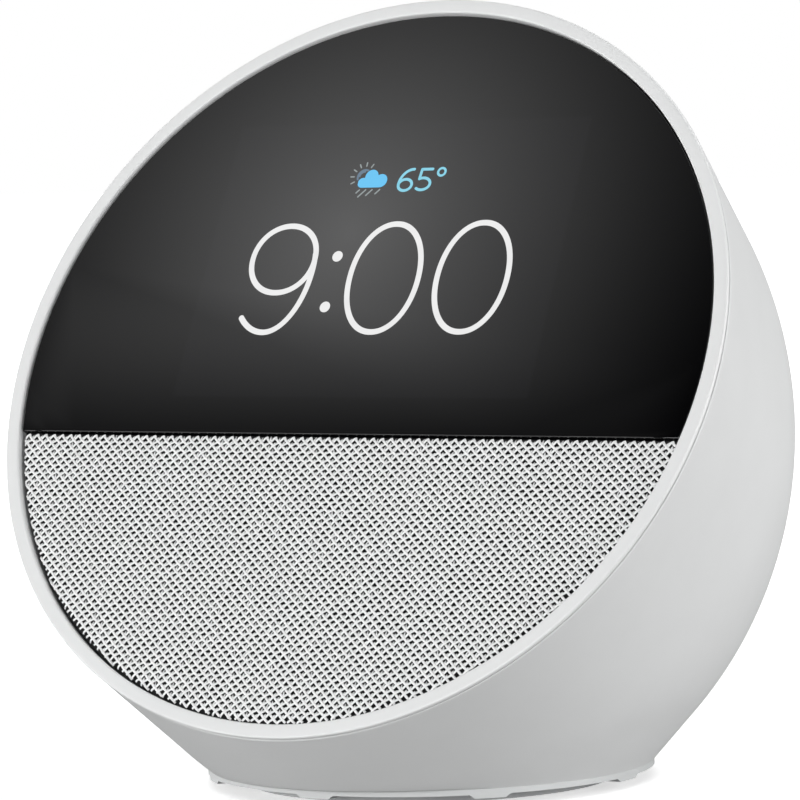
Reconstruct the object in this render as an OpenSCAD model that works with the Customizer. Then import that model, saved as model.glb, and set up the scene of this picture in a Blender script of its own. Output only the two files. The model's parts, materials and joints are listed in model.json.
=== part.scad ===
// Round smart display: a flat tilted face (screen above, speaker grille below)
// on a dome-shaped housing with three push buttons, a power inlet and a foot.
// Lengths are millimetres. +Z is up, the face looks towards -Y, and z = 0 is
// the surface the foot rests on. "Depth" is measured into the body, square to
// the face, from the bezel's front plane.

/* [Overall size] */
// Diameter of the round face, which is the widest part
face_d = 113; // [90:1:150]
// Height of the face's lowest edge above the table
face_lift = 11.1; // [8:0.1:20]
// Depth from the face's lowest edge to the back of the dome
body_depth = 102.5; // [86:0.5:140]
// How far the face leans back from upright, in degrees
face_tilt = 28.3; // [20:0.1:34]

/* [Housing] */
// How much larger the dome's radius is than the face's
dome_extra = 0.8; // [-2:0.1:4]
// How much narrower each side of the dome is than the face
dome_narrowing = 5; // [2:0.5:8]
// How far the dome's centre lies below the face's centre
dome_drop = 12.05; // [8:0.05:18]
// Wall thickness of the moulded housing
wall = 1.8; // [1.2:0.1:2.4]
// Gap between bezel and housing
seam_gap = 0.3; // [0.2:0.05:0.5]
// Diameter of the flat base
base_d = 63.6; // [52:0.2:80]

/* [Bezel and glass] */
// Width of the bezel ring seen from the front
bezel_w = 2.1; // [1.8:0.1:3]
// Thickness of the bezel's front flange
bezel_t = 0.55; // [0.4:0.05:0.8]
// How far the glass lies below the bezel's front plane
glass_recess = 0.5; // [0.3:0.05:0.8]
// Thickness of the cover glass
glass_t = 1.1; // [0.7:0.1:1.3]
// Height of the line between glass and grille, from the face's centre
split_v = -11.5; // [-15:0.5:-8]
// Gap between the edges of glass, cloth and bezel
edge_gap = 0.3; // [0.15:0.05:0.5]

/* [Screen] */
// Width of the panel's lit area
screen_w = 57.6; // [48:0.1:64]
// Height of the panel's lit area
screen_h = 43.2; // [36:0.1:46]
// Height of the lit area's centre above the face's centre
screen_v = 15.6; // [13:0.1:18]

/* [Speaker] */
// Diameter of the speaker's frame
speaker_d = 44; // [38:0.5:46]
// Height of the speaker's centre, from the face's centre
speaker_v = -31; // [-33:0.5:-30]
// How far the cone moves each way
cone_travel = 1; // [0.5:0.1:1.2]
// Diameter of the magnet
magnet_d = 29; // [24:0.5:32]

/* [Buttons] */
// Diameter of each button
button_d = 9; // [7:0.5:11]
// Distance between the buttons' centres
button_pitch = 16; // [13:0.5:18]
// Depth of the row of buttons behind the face
button_depth = 15; // [13:0.5:20]
// How far a button moves when pressed
button_travel = 0.5; // [0.3:0.1:0.7]
// Gap all round each button
button_gap = 0.35; // [0.25:0.05:0.5]

/* [Power inlet] */
// Diameter of the hole that takes the plug
inlet_d = 9; // [7:0.5:11]
// Length of the straight hole
inlet_len = 7; // [5:0.5:10]

/* [Foot] */
// Height of the housing's lip above the table
foot_h = 1.6; // [1.2:0.1:2.4]
// Height of the lip that shows under the housing
lip_h = 0.8; // [0.6:0.1:1.2]
// Distance from the base's edge in to the rubber foot's edge
foot_inset = 5.8; // [4.5:0.1:9]

/* [Hidden] */
face_r = face_d / 2;
base_r = base_d / 2;
speaker_r = speaker_d / 2;
magnet_r = magnet_d / 2;
inlet_r = inlet_d / 2;
foot_r = base_r - foot_inset;
big = 400;
through = 30;
eps = 0.05;

// Places that follow from the overall size
face_y = -body_depth / 2 + face_r * sin(face_tilt);
face_z = face_lift + face_r * cos(face_tilt);
dome_r = face_r + dome_extra;
dome_half_w = face_r - dome_narrowing;
dome_y = body_depth / 2 - dome_r;
dome_z = face_z - dome_drop;
base_z = foot_h + lip_h;
dome_squeeze = dome_half_w / dome_r;

// Dome's centre on the face's own axes: height up the face, and depth
dome_v = (dome_y - face_y) * sin(face_tilt) + (dome_z - face_z) * cos(face_tilt);
dome_depth = (dome_y - face_y) * cos(face_tilt) - (dome_z - face_z) * sin(face_tilt);

// Front stack, as depths behind the bezel's front plane
opening_r = face_r - bezel_w;
housing_front = bezel_t + seam_gap;
bezel_back = 3;
bezel_wall = 0.7;
rebate_r = opening_r + bezel_wall + 0.1;
rebate_depth = bezel_back + 0.2;
glass_back = glass_recess + glass_t;
glass_r = opening_r - edge_gap;
cloth_front = 0.7;
cloth_t = 0.5;
cloth_back = cloth_front + cloth_t;
grille_t = 1.2;
grille_back = cloth_back + grille_t;
adhesive_t = 0.1;
frame_front = glass_back + adhesive_t;
frame_t = 1.5;
frame_back = frame_front + frame_t;
frame_r = opening_r - 0.15;
shelf_front = grille_back + 0.1;
shelf_back = shelf_front + frame_t;
shelf_r = opening_r - 2;
cloth_top = split_v - edge_gap;

// Display stack
panel_margin = 1.6;
touch_t = 0.2;
cell_front = glass_back + touch_t + 0.05;
cell_t = 1.4;
light_front = cell_front + cell_t + 0.05;
light_t = 1.6;
shield_front = light_front + light_t + 0.1;
shield_t = 0.5;
panel_w = screen_w + 2 * panel_margin + 0.4;
panel_h = screen_h + 2 * panel_margin + 1.4;
panel_v = screen_v - 0.1;
window_gap = 0.6;
panel_low = panel_v - panel_h / 2;
panel_high = panel_v + panel_h / 2;
sensor_v = panel_high + 5.4;
shield_tab_x = panel_w / 2 + 3;
shield_post_r = 2.4;

// Speaker, as depths
gasket_t = 0.8;
flange_front = shelf_back + gasket_t;
flange_t = 1.5;
flange_back = flange_front + flange_t;
basket_depth = 8;
basket_back = flange_back + basket_depth;
plate_t = 2;
magnet_t = 6;
magnet_front = basket_back + plate_t;
yoke_front = magnet_front + magnet_t;
yoke_back = yoke_front + plate_t;
coil_r = 6.95;
coil_wall = 0.6;
coil_gap = 0.35;
basket_floor = basket_back - 1.2;
spider_t = 0.4;
spider_front = basket_floor - spider_t;
cone_back = spider_front - cone_travel - 0.3;
cone_r = speaker_r - 6.4;
surround_r = speaker_r - 2;
seal_t = 0.6;
cup_front = flange_back + seal_t;
cup_wall = 1.2;
cup_clearance = 0.3;
slope_clearance = 1.2;
cup_back = yoke_back + 0.5 + cup_wall;
ear_r = speaker_r + 3.6;
ear_t = 2;
ear_post_r = 2.6;

// Main board and its neighbours, as depths
board_front = 12;
board_t = 1.4;
board_back = board_front + board_t;
board_w = 76;
board_low = screen_v - 17.6;
board_high = screen_v + 20.4;
board_r = face_r - 7;
post_x = 34.5;
post_v = [board_low + 4, board_high - 12];
board_post_r = 2.8;
chip_t = 2;
pad_t = 0.6;

// Housing's skin in its middle plane: it runs straight from the rim until it touches the dome
rim_to_dome = norm([dome_depth - housing_front, dome_v - face_r]);
skin_fall = -atan2(dome_v - face_r, dome_depth - housing_front) - asin(min(1, dome_r / rim_to_dome));
skin_top = face_r - (button_depth - housing_front) * tan(skin_fall);

// Housing's inner floor: it slopes down from the rim's lowest edge to the base's front edge
base_recess_z = base_z + 1.6;
base_floor_z = base_recess_z + wall;
cavity_front = rebate_depth - 0.2;
slope_front_y = face_y - (face_r - wall) * sin(face_tilt) + cavity_front * cos(face_tilt);
slope_front_z = face_z - (face_r - wall) * cos(face_tilt) - cavity_front * sin(face_tilt);
slope_back_y = dome_y - base_r + wall;
floor_slope = atan2(slope_front_z - base_floor_z, slope_back_y - slope_front_y);
cup_floor_z = base_floor_z + cup_clearance;

// Buttons: heights up the face's own vertical
button_proud = 0.5;
button_top = skin_top + button_proud;
button_x = [-button_pitch, 0, button_pitch];
button_flange_t = 1.1;
button_flange_gap = 0.5;
flange_edge = button_pitch + button_d / 2 + 1;
inner_gap = 1;
inner_r = skin_top - wall - inner_gap;
button_flange_top = sqrt(pow(inner_r, 2) - pow(flange_edge, 2)) - button_flange_gap;
switch_h = 1.3;
plunger_r = 1;
plunger_seat = 0.2;
plunger_show = button_travel + 0.4;
stem_len = 1.6;
stem_r = 1.5;
stem_foot = button_flange_top - button_flange_t - stem_len;
button_board_top = button_flange_top - button_flange_t - stem_len - plunger_show - switch_h;
button_board_t = 1;
button_board_w = 2 * button_pitch + 15;
button_board_len = 12;
switch_w = 3.6;
mic_x = button_pitch / 2;
mic_hole_r = 0.6;

// Power inlet: square to the face through the dome's centre, at the very back
inlet_v = dome_v;
inlet_mouth = dome_depth + dome_r - 0.5;
inlet_wall = 1.6;
inlet_floor = inlet_mouth - inlet_len;
jack_len = 11;

// Foot and base
base_plate_r = base_r;
base_recess_r = base_r - 3.2;
base_opening_r = base_r - 14.8;
base_screw_r = base_r - 9.8;
base_screw_angles = [90, 200, 340];
base_boss_h = 5;
base_boss_r = 3.4;
boss_gap = 0.8;
tab_count = 8;
tab_h = 0.55;
tab_w = 4.4;
tab_slant = 0.8;
ballast_t = 9;
ballast_low = base_floor_z + 0.8;
ballast_top = ballast_low + ballast_t;
ballast_gap = 9;
ballast_front = face_y + (cup_back + (ballast_top - face_z) * sin(face_tilt)) / cos(face_tilt) + ballast_gap;
ballast_r = base_r - 6.8;

// Screws
screw_r = 1.2;
screw_head_r = 2.2;
screw_head_h = 1.3;
post_wall = 1.7;
housing_screw_r = frame_r - 4.6;
housing_screw_angles = [38, 142, 218, 322];
housing_seat = shelf_front + screw_head_h + 0.1;
housing_boss_back = housing_seat + 0.7;
housing_post_front = housing_boss_back + 0.1;
housing_post_back = 17;
housing_post_r = screw_r + post_wall;

// Local axes on the face: x to the right, y up the face, z out towards the viewer
module on_face() {
  translate([0, face_y, face_z])
    rotate([90 - face_tilt, 0, 0])
      children();
}

// Round plate on the face between two depths
module disc(r, front, back) {
  translate([0, 0, -back]) cylinder(r = r, h = back - front, $fn = 96);
}

// Ring on the face between two depths
module ring(r_out, r_in, front, back) {
  difference() {
    disc(r_out, front, back);
    disc(r_in, front - 1, back + 1);
  }
}

// Rectangle on the face between two depths, centred at (x, v)
module slab(w, h, x, v, front, back) {
  translate([x - w / 2, v - h / 2, -back]) cube([w, h, back - front]);
}

// Everything on the face below the height v
module below(v) {
  translate([-big / 2, v - big, -big / 2]) cube([big, big, big]);
}

// Everything on the face above the height v
module above(v) {
  translate([-big / 2, v, -big / 2]) cube([big, big, big]);
}

// Everything above the level z
module above_level(z) {
  translate([-big / 2, -big / 2, z]) cube([big, big, big]);
}

// Everything above the housing's sloping inner floor, raised by a gap
module above_slope(gap) {
  translate([0, slope_back_y, base_floor_z])
    rotate([-floor_slope, 0, 0])
      translate([-big / 2, -big / 2, gap]) cube([big, big, big]);
}

// Round bar that lies up the face's vertical, from height v1 to v2
module upright(r, x, depth, v1, v2) {
  translate([x, v1, -depth]) rotate([-90, 0, 0]) cylinder(r = r, h = v2 - v1, $fn = 48);
}

// Pan-head screw that points along -z, with the underside of its head at z = 0
module screw(length) {
  cylinder(r = screw_head_r, h = screw_head_h, $fn = 32);
  translate([0, 0, -length]) cylinder(r = screw_r, h = length + eps, $fn = 32);
}

// Straight wire between two points
module wire(a, b, r) {
  d = b - a;
  length = norm(d);
  translate(a)
    rotate([0, acos(d[2] / length), atan2(d[1], d[0])])
      cylinder(r = r, h = length, $fn = 24);
}

// Housing's form, drawn in by "inset": rim, squeezed dome and flat base joined by one skin
module body_form(inset, front, floor_z, fine) {
  hull() {
    on_face() translate([0, 0, -front - 0.2]) cylinder(r = face_r - inset, h = 0.2, $fn = fine);
    intersection() {
      translate([0, dome_y, dome_z])
        scale([dome_squeeze, 1, 1])
          sphere(r = dome_r - inset, $fn = fine);
      on_face() translate([-big / 2, -big / 2, -front - big]) cube([big, big, big]);
      above_level(floor_z);
    }
    translate([0, dome_y, floor_z]) cylinder(r = base_r - inset, h = 0.2, $fn = fine);
  }
}

module housing_screw_places() {
  for (a = housing_screw_angles)
    rotate([0, 0, a]) translate([housing_screw_r, 0, 0]) children();
}

// Screw posts moulded on the inside of the housing, each with a rib to the wall
module housing_posts() {
  for (a = housing_screw_angles)
    rotate([0, 0, a]) {
      translate([housing_screw_r, 0, 0]) disc(housing_post_r, housing_post_front, housing_post_back);
      slab(face_r - wall - housing_screw_r - 0.4, 2, (face_r - wall + housing_screw_r - 0.4) / 2, 0,
           housing_post_front, housing_post_back - 3);
    }
}

module rear_housing() {
  color("whitesmoke")
    difference() {
      union() {
        difference() {
          body_form(0, housing_front, base_z, 96);
          body_form(wall, cavity_front, base_floor_z, 72);
          on_face() disc(rebate_r, -1, rebate_depth);
        }
        on_face() housing_posts();
        for (a = base_screw_angles)
          translate([base_screw_r * cos(a), dome_y + base_screw_r * sin(a), base_floor_z - eps])
            cylinder(r = base_boss_r, h = base_boss_h, $fn = 32);
      }
      on_face() housing_screw_places() disc(screw_r + eps, 0, housing_post_back - 3);
      on_face()
        for (x = button_x)
          upright(button_d / 2 + button_gap, x, button_depth, skin_top - 14, skin_top + 9);
      on_face()
        for (x = [-mic_x, mic_x])
          upright(mic_hole_r, x, button_depth, skin_top - 14, skin_top + 9);
      on_face() translate([0, inlet_v, 0]) disc(inlet_r + inlet_wall + eps, inlet_floor - 8, inlet_mouth + 8);
      translate([0, dome_y, base_z - 1]) {
        cylinder(r = base_recess_r, h = base_recess_z - base_z + 1, $fn = 96);
        cylinder(r = base_opening_r, h = base_floor_z - base_z + 4, $fn = 96);
      }
      for (a = base_screw_angles)
        translate([base_screw_r * cos(a), dome_y + base_screw_r * sin(a), base_z])
          cylinder(r = screw_r + eps, h = 9, $fn = 32);
    }
}

module front_bezel() {
  color("white")
    on_face() {
      rotate_extrude($fn = 128)
        polygon([
          [opening_r, -bezel_back],
          [opening_r, -0.35],
          [opening_r + 0.35, 0],
          [face_r - 0.3, 0],
          [face_r, -0.3],
          [face_r, -bezel_t],
          [opening_r + bezel_wall, -bezel_t],
          [opening_r + bezel_wall, -bezel_back]
        ]);
    }
}

module cover_glass() {
  color("black")
    on_face()
      intersection() {
        disc(glass_r, glass_recess, glass_back);
        above(split_v);
      }
}

module glass_adhesive() {
  color("dimgray")
    on_face()
      difference() {
        intersection() {
          disc(glass_r - 0.3, glass_back, frame_front);
          above(split_v + 0.3);
        }
        slab(panel_w + 2 * window_gap, panel_h + 2 * window_gap, 0, panel_v, 0, through);
        disc(2, 0, through);
        translate([0, sensor_v, 0]) disc(2.2, 0, through);
      }
}

module touch_sensor() {
  color("slategray")
    on_face() slab(panel_w, panel_h - 0.4, 0, panel_v, glass_back, glass_back + touch_t);
}

module display_cell() {
  color("darkslategray")
    on_face() {
      slab(panel_w, panel_h, 0, panel_v, cell_front + 0.7, cell_front + cell_t);
      slab(screen_w + 2, screen_h + 2, 0, screen_v, cell_front, cell_front + 0.7 + eps);
    }
}

module backlight_unit() {
  color("gainsboro")
    on_face()
      difference() {
        slab(panel_w, panel_h, 0, panel_v, light_front, light_front + light_t);
        for (x = [-1, 1])
          slab(4, 1, x * 18, panel_low, light_front - 1, light_front + light_t + 1);
      }
}

module display_shield() {
  color("silver")
    on_face()
      difference() {
        union() {
          slab(panel_w, panel_h - 0.4, 0, panel_v, shield_front, shield_front + shield_t);
          for (x = [-1, 1])
            slab(6.4, 7, x * (panel_w / 2 + 1.8), screen_v, shield_front, shield_front + shield_t);
        }
        for (x = [-14, 14])
          slab(12, 18, x, screen_v, shield_front - 1, shield_front + shield_t + 1);
        shield_tab_places() disc(screw_r + 0.1, 0, through);
      }
}

module display_flex() {
  color("peru")
    on_face()
      translate([-8, 0, 0])
        rotate([90, 0, 90])
          linear_extrude(16)
            polygon([
              [panel_high + 0.05, -cell_front - 1],
              [panel_high + 0.9, -cell_front - 1],
              [panel_high + 0.9, -board_front + 1.2],
              [board_high - 6, -board_front + 1.2],
              [board_high - 6, -board_front + 1.4],
              [panel_high + 0.7, -board_front + 1.4],
              [panel_high + 0.7, -cell_front - 1.2],
              [panel_high + 0.05, -cell_front - 1.2]
            ]);
}

module shield_tab_places() {
  for (x = [-1, 1])
    translate([x * shield_tab_x, screen_v, 0]) children();
}

module board_post_places() {
  for (x = [-post_x, post_x])
    for (v = post_v)
      translate([x, v, 0]) children();
}

module cup_ear_places() {
  for (a = [30, 150, 210, 330])
    translate([0, speaker_v, 0])
      rotate([0, 0, a])
        translate([ear_r, 0, 0]) children();
}

module front_frame() {
  color("gray")
    on_face()
      difference() {
        union() {
          disc(frame_r, frame_front, frame_back);
          intersection() {
            disc(shelf_r, frame_front + 0.2, shelf_back);
            below(cloth_top + 1);
          }
          housing_screw_places() disc(screw_head_r + 0.9, frame_front + 0.2, housing_boss_back);
          board_post_places() disc(board_post_r, frame_back - eps, board_front);
          cup_ear_places() disc(ear_post_r, shelf_back - eps, cup_front);
          shield_tab_places() disc(shield_post_r, frame_back - eps, shield_front);
        }
        slab(panel_w + 2 * window_gap, panel_h + 2 * window_gap, 0, panel_v, 0, through);
        slab(18, 3, 0, panel_high + 0.9, 0, through);
        intersection() {
          disc(shelf_r - 0.8, 0, shelf_front);
          below(cloth_top + 0.2);
        }
        translate([0, speaker_v, 0]) disc(speaker_r - 2.6, 0, through);
        translate([0, sensor_v, 0]) disc(1.2, 0, through);
        housing_screw_places() {
          disc(screw_r + 0.2, 0, through);
          disc(screw_head_r + 0.2, 0, housing_seat);
        }
        board_post_places() disc(screw_r + eps, board_front - 6, board_front + 1);
        cup_ear_places() disc(screw_r + eps, shelf_front + 0.5, cup_front + 1);
        shield_tab_places() disc(screw_r + eps, frame_front + 0.4, shield_front + 1);
      }
}

module grille_cloth() {
  color("lightgray")
    on_face()
      intersection() {
        disc(glass_r, cloth_front, cloth_back);
        below(cloth_top);
      }
}

module grille_plate() {
  hole_pitch = 3.4;
  rows = 6;
  color("silver")
    on_face()
      difference() {
        intersection() {
          disc(shelf_r - 1.1, cloth_back, grille_back);
          below(cloth_top);
        }
        for (i = [-rows : rows])
          for (j = [-rows : rows])
            let (x = hole_pitch * (i + (abs(j) % 2) / 2), v = hole_pitch * 0.866 * j)
              if (norm([x, v]) < speaker_r - 4)
                translate([x, speaker_v + v, 0]) disc(1.1, 0, through);
      }
}

module speaker_gasket() {
  color("dimgray")
    on_face() translate([0, speaker_v, 0]) ring(speaker_r - 0.2, surround_r + 0.2, shelf_back, flange_front);
}

module speaker_basket() {
  color("darkgray")
    on_face()
      translate([0, speaker_v, 0])
        difference() {
          union() {
            disc(speaker_r, flange_front, flange_back);
            translate([0, 0, -basket_back])
              cylinder(r1 = magnet_r + 0.5, r2 = speaker_r - 1.8, h = basket_depth + eps, $fn = 96);
          }
          translate([0, 0, -basket_floor])
            cylinder(r1 = magnet_r - 0.7, r2 = speaker_r - 3, h = basket_floor - flange_back + eps, $fn = 96);
          disc(speaker_r - 3, flange_front + 0.8, flange_back + eps);
          disc(surround_r, 0, flange_front + 0.8);
          disc(coil_r + 1.5, 0, basket_back + 1);
          for (a = [45 : 90 : 315])
            rotate([0, 0, a])
              translate([speaker_r, 0, -basket_back + 4.3])
                cube([14, 10, 4.6], center = true);
        }
}

module top_plate() {
  color("silver")
    on_face() translate([0, speaker_v, 0]) ring(magnet_r - 1, coil_r + coil_gap, basket_back, magnet_front);
}

module speaker_magnet() {
  color("darkslategray")
    on_face() translate([0, speaker_v, 0]) ring(magnet_r, coil_r + 2.4, magnet_front, yoke_front);
}

module speaker_yoke() {
  color("silver")
    on_face()
      translate([0, speaker_v, 0]) {
        disc(magnet_r - 1, yoke_front, yoke_back);
        disc(coil_r - coil_wall - coil_gap, basket_back - 0.4, yoke_front + eps);
      }
}

module speaker_cone() {
  cone_front = flange_front + 0.9;
  color("dimgray")
    on_face()
      translate([0, speaker_v, 0])
        rotate_extrude($fn = 96)
          polygon([
            [coil_r, -cone_back],
            [coil_r + 0.5, -cone_back],
            [cone_r, -cone_front - 0.4],
            [cone_r, -cone_front],
            [coil_r, -cone_back + 0.5]
          ]);
}

module dust_cap() {
  cap_sphere_r = 11;
  cap_r = coil_r - 0.1;
  cap_base = cone_back - 0.6;
  rise = cap_sphere_r - sqrt(pow(cap_sphere_r, 2) - pow(cap_r, 2));
  color("dimgray")
    on_face()
      translate([0, speaker_v, -cap_base])
        difference() {
          intersection() {
            translate([0, 0, rise - cap_sphere_r]) sphere(r = cap_sphere_r, $fn = 64);
            cylinder(r = cap_r, h = 9, $fn = 64);
          }
          translate([0, 0, rise - cap_sphere_r - 0.4]) sphere(r = cap_sphere_r, $fn = 64);
        }
}

module voice_coil() {
  color("chocolate")
    on_face()
      translate([0, speaker_v, 0])
        ring(coil_r, coil_r - coil_wall, cone_back - 0.5, magnet_front + 0.6);
}

module cone_surround() {
  color("black")
    on_face()
      translate([0, speaker_v, -flange_front - 0.8])
        rotate_extrude($fn = 96)
          difference() {
            translate([(cone_r + surround_r) / 2, 0]) circle(r = (surround_r - cone_r) / 2 - 0.05, $fn = 48);
            translate([(cone_r + surround_r) / 2, 0]) circle(r = (surround_r - cone_r) / 2 - 0.45, $fn = 48);
            translate([0, -10]) square([40, 10]);
          }
}

module cone_spider() {
  color("goldenrod")
    on_face() translate([0, speaker_v, 0]) ring(magnet_r - 1.4, coil_r + 0.1, spider_front, basket_floor);
}

module speaker_seal() {
  color("black")
    on_face() translate([0, speaker_v, 0]) ring(speaker_r, speaker_r - 1.3, flange_back, cup_front);
}

module speaker_cup() {
  color("gray")
    difference() {
      intersection() {
        on_face() {
          translate([0, speaker_v, 0]) disc(speaker_r, cup_front, cup_back);
          cup_ear_places() disc(ear_post_r, cup_front, cup_front + ear_t);
          cup_ear_places() translate([-4, -1.6, -cup_front - ear_t]) cube([4, 3.2, ear_t]);
        }
        above_level(cup_floor_z);
        above_slope(slope_clearance);
      }
      intersection() {
        on_face() translate([0, speaker_v, 0]) disc(speaker_r - cup_wall, cup_front - 1, cup_back - cup_wall);
        above_level(cup_floor_z + cup_wall);
        above_slope(slope_clearance + cup_wall);
      }
      on_face() cup_ear_places() disc(screw_r + 0.2, 0, through);
    }
}

module cup_screws() {
  color("silver")
    on_face()
      cup_ear_places()
        translate([0, 0, -cup_front - ear_t]) mirror([0, 0, 1]) screw(4);
}

module speaker_leads() {
  color("firebrick")
    on_face()
      for (x = [-2, 2])
        wire([x, speaker_v + speaker_r + 0.3, -cup_front - 4], [x, board_low - 0.6, -board_back - 1.2], 0.6);
}

module main_board() {
  color("darkgreen")
    on_face()
      difference() {
        intersection() {
          slab(board_w, board_high - board_low, 0, (board_low + board_high) / 2, board_front, board_back);
          disc(board_r, board_front - 1, board_back + 1);
        }
        board_post_places() disc(screw_r + 0.2, 0, through);
        housing_screw_places() disc(housing_post_r + 0.6, 0, through);
      }
}

module processor_shield() {
  color("silver")
    on_face() slab(24, 20, -8, screen_v + 1, board_back, board_back + chip_t);
}

module radio_shield() {
  color("silver")
    on_face() slab(14, 13, 20, screen_v + 8, board_back, board_back + chip_t);
}

module board_connectors() {
  color("ivory")
    on_face() {
      slab(9, 3, 0, board_low + 2, board_back, board_back + 2.4);
      slab(6, 4, 24, board_low + 9, board_back, board_back + 3);
      slab(18, 2.4, 0, board_high - 7.4, board_front - 1.2, board_front);
      slab(8, 2.4, 20, board_high - 2.6, board_back, board_back + 1.2);
    }
}

module thermal_pad() {
  color("lightsteelblue")
    on_face() slab(18, 16, -8, screen_v + 1, board_back + chip_t, board_back + chip_t + pad_t);
}

module heat_spreader() {
  plate = board_back + chip_t + pad_t;
  color("lightgray")
    on_face() {
      slab(40, 24, -6, screen_v + 1, plate, plate + 1);
      for (i = [-4 : 4])
        slab(1, 24, -6 + i * 4.6, screen_v + 1, plate + 1 - eps, plate + 6);
    }
}

module board_screws() {
  color("silver")
    on_face()
      board_post_places()
        translate([0, 0, -board_back]) mirror([0, 0, 1]) screw(5);
}

module frame_screws() {
  color("silver")
    on_face() housing_screw_places() translate([0, 0, -housing_seat]) screw(9);
}

// One push button: a round cap that follows the body's curve, with a flange inside the housing
module push_button(x) {
  on_face() {
    intersection() {
      upright(button_d / 2, x, button_depth, button_flange_top - eps, button_top + 4);
      disc(button_top, 0, 60);
    }
    upright(button_d / 2 + 0.9, x, button_depth, button_flange_top - button_flange_t, button_flange_top);
    upright(stem_r, x, button_depth, stem_foot, stem_foot + stem_len + eps);
  }
}

// Plunger between a button's stem and its switch, which it slides into
module push_plunger(x) {
  switch_top = button_board_top + switch_h;
  on_face() upright(plunger_r, x, button_depth, switch_top - plunger_seat, switch_top + plunger_show);
}

module volume_up_button() {
  color("white") push_button(button_pitch);
}

module mic_mute_button() {
  color("white") push_button(0);
}

module volume_down_button() {
  color("white") push_button(-button_pitch);
}

module volume_up_plunger() {
  color("black") push_plunger(button_pitch);
}

module mic_mute_plunger() {
  color("black") push_plunger(0);
}

module volume_down_plunger() {
  color("black") push_plunger(-button_pitch);
}

module button_board() {
  low = button_board_top - button_board_t;
  color("darkgreen")
    on_face()
      translate([-button_board_w / 2, low, -button_depth - button_board_len / 2])
        cube([button_board_w, button_board_t, button_board_len]);
}

module button_switches() {
  hole_floor = button_board_top + switch_h - plunger_seat - button_travel - 0.3;
  color("silver")
    on_face()
      for (x = button_x)
        difference() {
          translate([x - switch_w / 2, button_board_top, -button_depth - switch_w / 2])
            cube([switch_w, switch_h, switch_w]);
          upright(plunger_r + 0.1, x, button_depth, hole_floor, button_board_top + 3);
        }
}

module microphones() {
  color("gold")
    on_face()
      for (x = [-mic_x, mic_x])
        translate([x - 1.4, button_board_top, -button_depth - 1.8]) cube([2.8, 1, 3.6]);
}

module mic_boots() {
  boot_top = sqrt(pow(inner_r, 2) - pow(mic_x + 2, 2)) - 0.2;
  color("black")
    on_face()
      for (x = [-mic_x, mic_x])
        difference() {
          upright(1.5, x, button_depth, button_board_top + 1, boot_top);
          upright(mic_hole_r, x, button_depth, button_board_top, boot_top + 1);
        }
}

module button_flex() {
  color("peru")
    on_face() {
      slab(6, 0.2, 20, button_board_top - button_board_t - 0.1, board_back + 1, button_depth + 4);
      slab(6, button_board_top - button_board_t - board_high + 1.4, 20,
           (button_board_top - button_board_t + board_high - 1.4) / 2, board_back + 1, board_back + 1.2);
    }
}

module antennas() {
  color("gold")
    on_face()
      for (s = [-1, 1])
        translate([s * (dome_half_w - wall - 7), dome_v + 9.5, -dome_depth - 10])
          rotate([0, s * 12, 0])
            cube([0.4, 22, 9], center = true);
}

module light_sensor() {
  color("darkslategray")
    on_face() {
      translate([0, sensor_v, 0]) disc(1, glass_back, frame_back + 0.4);
      slab(5, 4, 0, sensor_v, frame_back + 0.4, frame_back + 1);
    }
}

// Round collar in the back of the housing that the plug goes through
module inlet_collar() {
  color("whitesmoke")
    on_face()
      translate([0, inlet_v, 0])
        difference() {
          union() {
            disc(inlet_r + inlet_wall, inlet_floor, inlet_mouth);
            disc(inlet_r + inlet_wall + 1.4, inlet_floor, inlet_mouth - 3.6);
          }
          disc(inlet_r, inlet_floor - 1, inlet_mouth + 1);
        }
}

module inlet_jack() {
  color("black")
    on_face()
      translate([0, inlet_v, 0])
        difference() {
          slab(inlet_d + 2 * inlet_wall, 11, 0, 0, inlet_floor - jack_len, inlet_floor);
          disc(3, inlet_floor - jack_len + 2, inlet_floor + 1);
        }
}

module inlet_pin() {
  color("silver")
    on_face()
      translate([0, inlet_v, 0]) disc(1, inlet_floor - jack_len + 2, inlet_floor - 1);
}

module power_leads() {
  color("firebrick")
    on_face()
      for (x = [-1.6, 1.6])
        wire([x, inlet_v, 1 - inlet_floor + jack_len], [x + 24, board_low + 9, -board_back - 4], 0.8);
}

module base_plate() {
  color("silver")
    translate([0, dome_y, 0])
      difference() {
        union() {
          translate([0, 0, foot_h]) cylinder(r = base_plate_r, h = lip_h, $fn = 128);
          translate([0, 0, foot_h])
            cylinder(r = base_recess_r - 0.2, h = base_recess_z - foot_h - 0.1, $fn = 96);
          translate([0, 0, base_z]) cylinder(r = base_opening_r - 0.2, h = base_floor_z - base_z, $fn = 96);
          foot_tabs();
        }
        translate([0, 0, base_recess_z]) cylinder(r = base_opening_r - 1.6, h = 9, $fn = 96);
        for (a = base_screw_angles)
          translate([base_screw_r * cos(a), base_screw_r * sin(a), foot_h - 1]) {
            cylinder(r = screw_r + 0.2, h = 9, $fn = 32);
            cylinder(r = screw_head_r + 0.3, h = 1 + screw_head_h + 0.1, $fn = 32);
          }
      }
}

// Short tabs with slanted ends around the lip
module foot_tabs() {
  intersection() {
    difference() {
      cylinder(r = base_plate_r, h = foot_h + eps, $fn = 128);
      translate([0, 0, -1]) cylinder(r = base_plate_r - 2.4, h = foot_h + 2, $fn = 96);
    }
    for (i = [0 : tab_count - 1])
      rotate([0, 0, i * 360 / tab_count])
        translate([base_plate_r, 0, foot_h + eps])
          rotate([90, 0, -90])
            translate([0, 0, -5])
              linear_extrude(10)
                polygon([
                  [-tab_w / 2 - tab_slant, 0],
                  [-tab_w / 2, -tab_h],
                  [tab_w / 2, -tab_h],
                  [tab_w / 2 + tab_slant, 0]
                ]);
  }
}

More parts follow.
